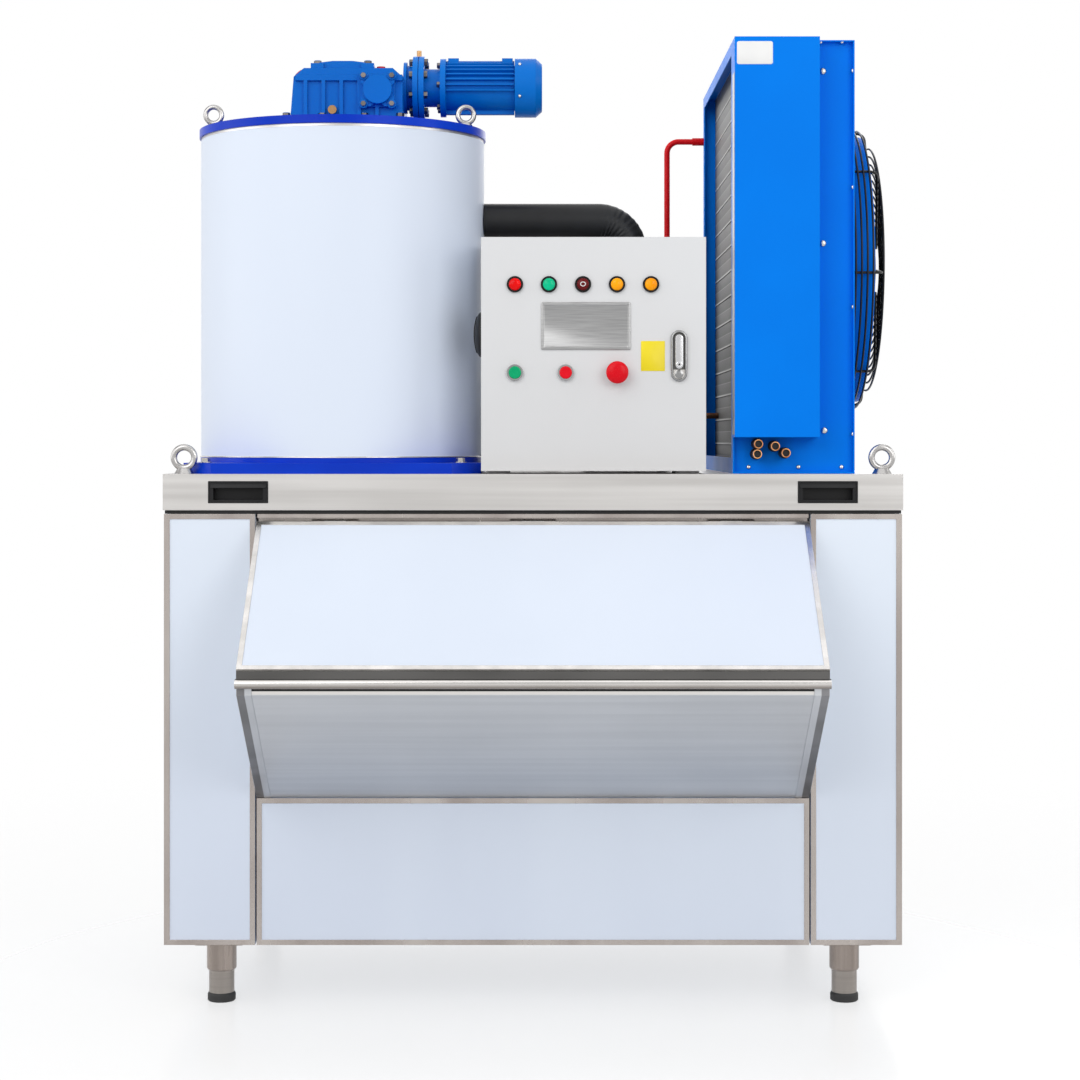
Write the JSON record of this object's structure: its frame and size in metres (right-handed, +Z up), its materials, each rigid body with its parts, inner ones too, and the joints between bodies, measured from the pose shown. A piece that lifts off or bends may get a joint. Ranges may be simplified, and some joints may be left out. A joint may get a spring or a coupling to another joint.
{
  "type": "flake ice machine",
  "caption": "Flake ice machine: insulated drum with gear motor, control cabinet and fan-cooled condenser on a steel-trimmed ice bin with a slanted hopper lid.",
  "frame": {"origin": "on the floor under the middle of the whole outline, hopper and fan guard included", "axes": "+Z up, front with the hopper towards -Y, condenser towards +X"},
  "size_m": [1.3168, 1.194, 1.734],
  "materials": {
    "white_panel": "smooth white coated steel sheet",
    "steel": "brushed stainless steel",
    "black_rubber": "matt black rubber",
    "black_plastic": "satin black plastic",
    "bright_eye": "bright zinc plate",
    "foot_mix": "steel stem in a black rubber pad",
    "deep_blue": "gloss deep blue paint",
    "blue": "gloss bright blue paint",
    "red_plastic": "gloss red plastic",
    "pale_grey": "fine textured pale grey paint",
    "plated_steel": "zinc plated sheet",
    "bezel_black": "black and chrome rings",
    "lamp_lens": "ribbed translucent coloured plastic",
    "green_plastic": "gloss green plastic",
    "chrome": "polished chrome",
    "fins": "close aluminium fins",
    "copper": "drawn copper",
    "black_wire": "black coated steel wire",
    "insulation": "matt black foam rubber",
    "red_pipe": "gloss red paint",
    "black_paint": "semi-gloss black paint"
  },
  "bodies": {
    "machine": {"bin_floor": "steel", "bin_side_panels": "white_panel", "bin_back_panel": "white_panel", "front_side_panels": "white_panel", "front_lower_panel": "white_panel", "bin_trims": "steel", "hopper_underside": "steel", "hopper_cheeks": "steel", "lid_hinge_rail": "steel", "top_cap": "steel", "cap_gasket": "black_rubber", "pull_cups": "black_plastic", "eye_bolts": "bright_eye", "leg_tubes": "steel", "drum_base_frame": "deep_blue", "drum_jacket": "white_panel", "drum_top_plate": "deep_blue", "evaporator_wall": "steel", "bearing_spider": "steel", "reducer_housing": "blue", "reducer_top_cover": "blue", "reducer_end_cover": "blue", "reducer_plugs": "red_plastic", "input_flange": "blue", "motor_body": "blue", "motor_fan_cowl": "blue", "cabinet_shell": "pale_grey", "component_plate": "plated_steel", "condenser_casing": "blue", "condenser_cover": "blue", "condenser_coil": "fins", "coil_stubs": "copper", "fan_shroud": "blue", "fan_guard": "black_wire", "fan_motor": "black_wire", "suction_pipe": "insulation", "discharge_pipe": "red_pipe", "compressor": "black_paint", "liquid_receiver": "black_paint", "liquid_line": "copper"},
    "lid": {"bin_lid": "white_panel", "lid_frame": "steel", "lid_grip_rail": "steel"},
    "scraper": {"scraper_shaft": "steel", "ice_scraper": "steel", "water_distributor": "steel"},
    "fan": {"fan_rotor": "black_wire"},
    "door": {"cabinet_door": "pale_grey", "panel_bezels": "bezel_black", "lamp_lenses": "lamp_lens", "latch_plate": "chrome"},
    "latch": {"latch_handle": "chrome"},
    "start": {"start_button": "green_plastic"},
    "stop": {"stop_button": "red_plastic"},
    "estop": {"estop_button": "red_plastic"},
    "switch_knob": {"main_switch_knob": "black_plastic"},
    "foot_fl": {"foot_front_left": "foot_mix"},
    "foot_fr": {"foot_front_right": "foot_mix"},
    "foot_bl": {"foot_back_left": "foot_mix"},
    "foot_br": {"foot_back_right": "foot_mix"}
  },
  "joints": [
    {"name": "lid_hinge", "type": "hinge", "parent": "machine", "child": "lid", "pos_m": [-0.00582, -0.274, 0.855], "axis": [-1, 0, 0], "range_deg": [0, 42]},
    {"name": "scraper_turn", "type": "hinge", "parent": "machine", "child": "scraper", "pos_m": [-0.36283, -0.006, 1.2], "axis": [0, 0, 1], "continuous": true},
    {"name": "fan_turn", "type": "hinge", "parent": "machine", "child": "fan", "pos_m": [0.59418, 0.126, 1.331], "axis": [1, 0, 0], "continuous": true},
    {"name": "door_hinge", "type": "hinge", "parent": "machine", "child": "door", "pos_m": [-0.09182, -0.253, 1.15], "axis": [0, 0, -1], "range_deg": [0, 100]},
    {"name": "latch_flip", "type": "hinge", "parent": "door", "child": "latch", "pos_m": [0.25318, -0.271, 1.1275], "axis": [1, 0, 0], "range_deg": [0, 75]},
    {"name": "start_press", "type": "slide", "parent": "door", "child": "start", "axis": [0, 1, 0], "range_m": [0, 0.003], "stiffness_N_per_m": 400},
    {"name": "stop_press", "type": "slide", "parent": "door", "child": "stop", "axis": [0, 1, 0], "range_m": [0, 0.003], "stiffness_N_per_m": 400},
    {"name": "estop_press", "type": "slide", "parent": "door", "child": "estop", "axis": [0, 1, 0], "range_m": [0, 0.006]},
    {"name": "switch_turn", "type": "hinge", "parent": "machine", "child": "switch_knob", "pos_m": [-0.10282, -0.186, 1.192], "axis": [-1, 0, 0], "range_deg": [0, 90]},
    {"name": "foot_fl_screw", "type": "slide", "parent": "machine", "child": "foot_fl", "axis": [0, 0, 1], "range_m": [-0.025, 0]},
    {"name": "foot_fr_screw", "type": "slide", "parent": "machine", "child": "foot_fr", "axis": [0, 0, 1], "range_m": [-0.025, 0]},
    {"name": "foot_bl_screw", "type": "slide", "parent": "machine", "child": "foot_bl", "axis": [0, 0, 1], "range_m": [-0.025, 0]},
    {"name": "foot_br_screw", "type": "slide", "parent": "machine", "child": "foot_br", "axis": [0, 0, 1], "range_m": [-0.025, 0]}
  ]
}
